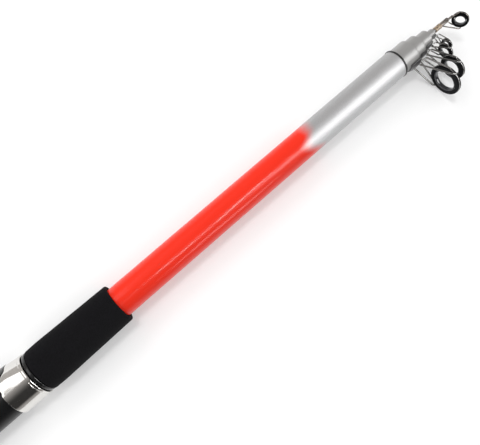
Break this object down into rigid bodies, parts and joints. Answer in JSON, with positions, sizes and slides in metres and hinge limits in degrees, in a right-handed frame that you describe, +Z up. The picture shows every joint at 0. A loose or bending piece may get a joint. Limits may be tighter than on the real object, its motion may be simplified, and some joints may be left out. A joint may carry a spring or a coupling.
{
  "type": "telescopic fishing rod",
  "caption": "Telescopic spinning rod, closed, with foam grips, a reel seat with screw hood, standing line guides on its sliding sections and a tip-top.",
  "frame": {"origin": "middle of the closed rod's base, on the floor it lies on", "axes": "+X from the butt to the tip, guides towards -Y, the reel foot's side of the seat towards +Y, +Z up"},
  "size_m": [0.6014, 0.0594, 0.029],
  "materials": {
    "blank_paint": "gloss",
    "section_paint": "satin",
    "black_gloss": "gloss",
    "ring_black": "gloss",
    "hood_chrome": "polished",
    "grip_foam": "matte",
    "black_rubber": "matte",
    "plug_metal": "satin",
    "wire_steel": "polished",
    "tip_steel": "satin",
    "bronze_wrap": "gloss"
  },
  "bodies": {
    "handle": {"butt_blank": "blank_paint", "muzzle_ring": "black_gloss", "rear_grip": "grip_foam", "foregrip_trim": "black_gloss", "foregrip": "grip_foam", "reel_seat_body": "black_gloss", "front_hood_body": "black_gloss", "front_hood_sleeve": "hood_chrome", "butt_ferrule": "plug_metal"},
    "sliding_hood": {"sliding_hood_body": "black_gloss", "sliding_hood_sleeve": "hood_chrome"},
    "nut": {"locking_nut": "black_gloss"},
    "seal": {"plug_seal": "black_rubber"},
    "plug": {"butt_plug": "plug_metal", "butt_pad": "black_rubber", "plug_cushion": "grip_foam"},
    "section_2": {"section_2_blank": "section_paint"},
    "guide_1": {"section_2_winding": "section_paint", "guide_1_binding": "black_gloss", "guide_1_frame": "wire_steel", "guide_1_ring": "ring_black", "guide_1_insert": "ring_black"},
    "section_3": {"section_3_blank": "section_paint"},
    "guide_2": {"section_3_winding": "section_paint", "guide_2_binding": "black_gloss", "guide_2_frame": "wire_steel", "guide_2_ring": "ring_black", "guide_2_insert": "ring_black"},
    "section_4": {"section_4_blank": "section_paint"},
    "guide_3": {"section_4_winding": "section_paint", "guide_3_binding": "black_gloss", "guide_3_frame": "wire_steel", "guide_3_ring": "ring_black", "guide_3_insert": "ring_black"},
    "section_5": {"section_5_blank": "section_paint"},
    "guide_4": {"section_5_winding": "section_paint", "guide_4_binding": "black_gloss", "guide_4_frame": "wire_steel", "guide_4_ring": "ring_black", "guide_4_insert": "ring_black"},
    "section_6": {"section_6_blank": "section_paint"},
    "tip_top": {"tip_wrap": "bronze_wrap", "tip_top_frame": "tip_steel", "tip_top_ring": "ring_black", "tip_top_insert": "ring_black"}
  },
  "joints": [
    {"name": "section_2_slide", "type": "slide", "parent": "handle", "child": "section_2", "axis": [1, 0, 0], "range_m": [0, 0.46]},
    {"name": "section_3_slide", "type": "slide", "parent": "section_2", "child": "section_3", "axis": [1, 0, 0], "range_m": [0, 0.479]},
    {"name": "section_4_slide", "type": "slide", "parent": "section_3", "child": "section_4", "axis": [1, 0, 0], "range_m": [0, 0.491]},
    {"name": "section_5_slide", "type": "slide", "parent": "section_4", "child": "section_5", "axis": [1, 0, 0], "range_m": [0, 0.506]},
    {"name": "section_6_slide", "type": "slide", "parent": "section_5", "child": "section_6", "axis": [1, 0, 0], "range_m": [0, 0.518]},
    {"name": "guide_1_turn", "type": "hinge", "parent": "section_2", "child": "guide_1", "pos_m": [0.26564, 0.01285, 0.0145], "axis": [1, 0, 0], "continuous": true},
    {"name": "guide_2_turn", "type": "hinge", "parent": "section_3", "child": "guide_2", "pos_m": [0.27564, 0.01285, 0.0145], "axis": [1, 0, 0], "continuous": true},
    {"name": "guide_3_turn", "type": "hinge", "parent": "section_4", "child": "guide_3", "pos_m": [0.27864, 0.01285, 0.0145], "axis": [1, 0, 0], "continuous": true},
    {"name": "guide_4_turn", "type": "hinge", "parent": "section_5", "child": "guide_4", "pos_m": [0.28274, 0.01285, 0.0145], "axis": [1, 0, 0], "continuous": true},
    {"name": "tip_top_turn", "type": "hinge", "parent": "section_6", "child": "tip_top", "pos_m": [0.29434, 0.01285, 0.0145], "axis": [1, 0, 0], "continuous": true},
    {"name": "hood_slide", "type": "slide", "parent": "handle", "child": "sliding_hood", "axis": [1, 0, 0], "range_m": [0, 0.012]},
    {"name": "nut_turn", "type": "hinge", "parent": "sliding_hood", "child": "nut", "pos_m": [-0.16366, 0.01285, 0.0145], "axis": [1, 0, 0], "range_deg": [0, 1080]},
    {"name": "plug_slide", "type": "slide", "parent": "handle", "child": "seal", "axis": [-1, 0, 0], "range_m": [0, 0.006]},
    {"name": "plug_turn", "type": "hinge", "parent": "seal", "child": "plug", "pos_m": [-0.29066, 0.01285, 0.0145], "axis": [-1, 0, 0], "range_deg": [0, 1440]}
  ],
  "couplings": [
    {"joint": "nut_turn", "follows": "hood_slide", "rad_per_m": 1570.8},
    {"joint": "plug_turn", "follows": "plug_slide", "rad_per_m": 4188.8}
  ]
}
